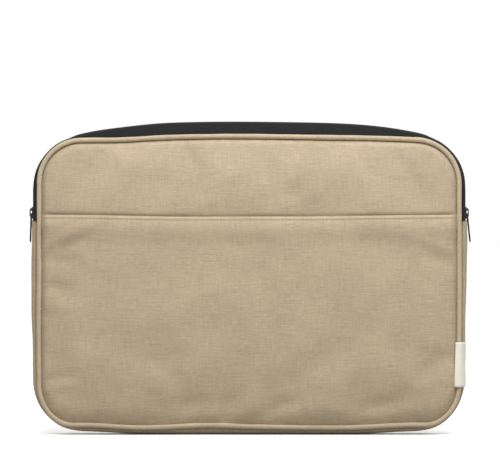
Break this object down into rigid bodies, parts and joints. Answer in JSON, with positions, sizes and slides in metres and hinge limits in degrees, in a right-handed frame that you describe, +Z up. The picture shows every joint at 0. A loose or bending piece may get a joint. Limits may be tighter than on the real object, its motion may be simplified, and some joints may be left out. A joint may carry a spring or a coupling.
{
  "type": "laptop sleeve",
  "caption": "Padded canvas laptop sleeve with piped edges, a full-width front slip pocket, a side label and a black zipper standing open along the top.",
  "frame": {"origin": "on the resting surface, below the middle of the bounding box, with the sleeve standing on its bottom gusset and its mouth up", "axes": "+Z up towards the mouth, +X to the right seen from the front, the front with the slip pocket faces -Y"},
  "size_m": [0.4063, 0.0362, 0.287],
  "materials": {
    "canvas": "sand-coloured plain woven cotton canvas, matt",
    "lining": "dark grey woven polyester lining, matt",
    "foam": "soft foam padding",
    "piping_cord": "soft filler cord",
    "binding": "black woven binding tape",
    "zip_tape": "black woven zipper tape, slight sheen",
    "zip_coil": "black nylon coil",
    "thread": "sand-coloured sewing thread",
    "dark_metal": "dark gunmetal paint, satin",
    "label_cotton": "cream cotton label, unprinted"
  },
  "bodies": {
    "sleeve": {"back_panel": "canvas", "back_foam": "foam", "back_lining": "lining", "front_panel": "canvas", "front_foam": "foam", "front_lining": "lining", "slip_pocket": "canvas", "pocket_hem": "canvas", "pocket_stitching": "thread", "gusset_canvas": "canvas", "gusset_foam": "foam", "gusset_lining": "lining", "front_piping": "canvas", "back_piping": "canvas", "front_piping_cord": "piping_cord", "back_piping_cord": "piping_cord", "front_binding": "binding", "back_binding": "binding", "back_zip_tape": "zip_tape", "front_zip_tape_sides": "zip_tape", "back_zip_coil": "zip_coil", "front_zip_coil_sides": "zip_coil", "zip_end_stops": "dark_metal", "zip_end_stitching": "thread", "side_label": "label_cotton", "label_stitching": "thread"},
    "mouth_flap": {"front_panel_top": "canvas", "front_foam_top": "foam", "front_lining_top": "lining", "front_piping_top": "canvas", "front_piping_cord_top": "piping_cord", "front_binding_top": "binding", "front_zip_tape_top": "zip_tape", "front_zip_coil_top": "zip_coil"},
    "slider_left": {"slider_left": "dark_metal"},
    "slider_right": {"slider_right": "dark_metal"},
    "puller_left": {"puller_left": "dark_metal"},
    "puller_right": {"puller_right": "dark_metal"}
  },
  "joints": [
    {"name": "mouth_open", "type": "hinge", "parent": "sleeve", "child": "mouth_flap", "pos_m": [0, -0.0113, 0.2258], "axis": [1, 0, 0], "range_deg": [0, 25], "stiffness_Nm_per_rad": 0.15},
    {"name": "slide_left", "type": "slide", "parent": "sleeve", "child": "slider_left", "axis": [0, 0, 1], "range_m": [0, 0.016]},
    {"name": "slide_right", "type": "slide", "parent": "sleeve", "child": "slider_right", "axis": [0, 0, 1], "range_m": [0, 0.016]},
    {"name": "swing_left", "type": "hinge", "parent": "slider_left", "child": "puller_left", "pos_m": [-0.2007, 0.0033, 0.2029], "axis": [0, 1, 0], "range_deg": [0, 165]},
    {"name": "swing_right", "type": "hinge", "parent": "slider_right", "child": "puller_right", "pos_m": [0.2007, 0.0033, 0.2029], "axis": [0, -1, 0], "range_deg": [0, 165]}
  ]
}
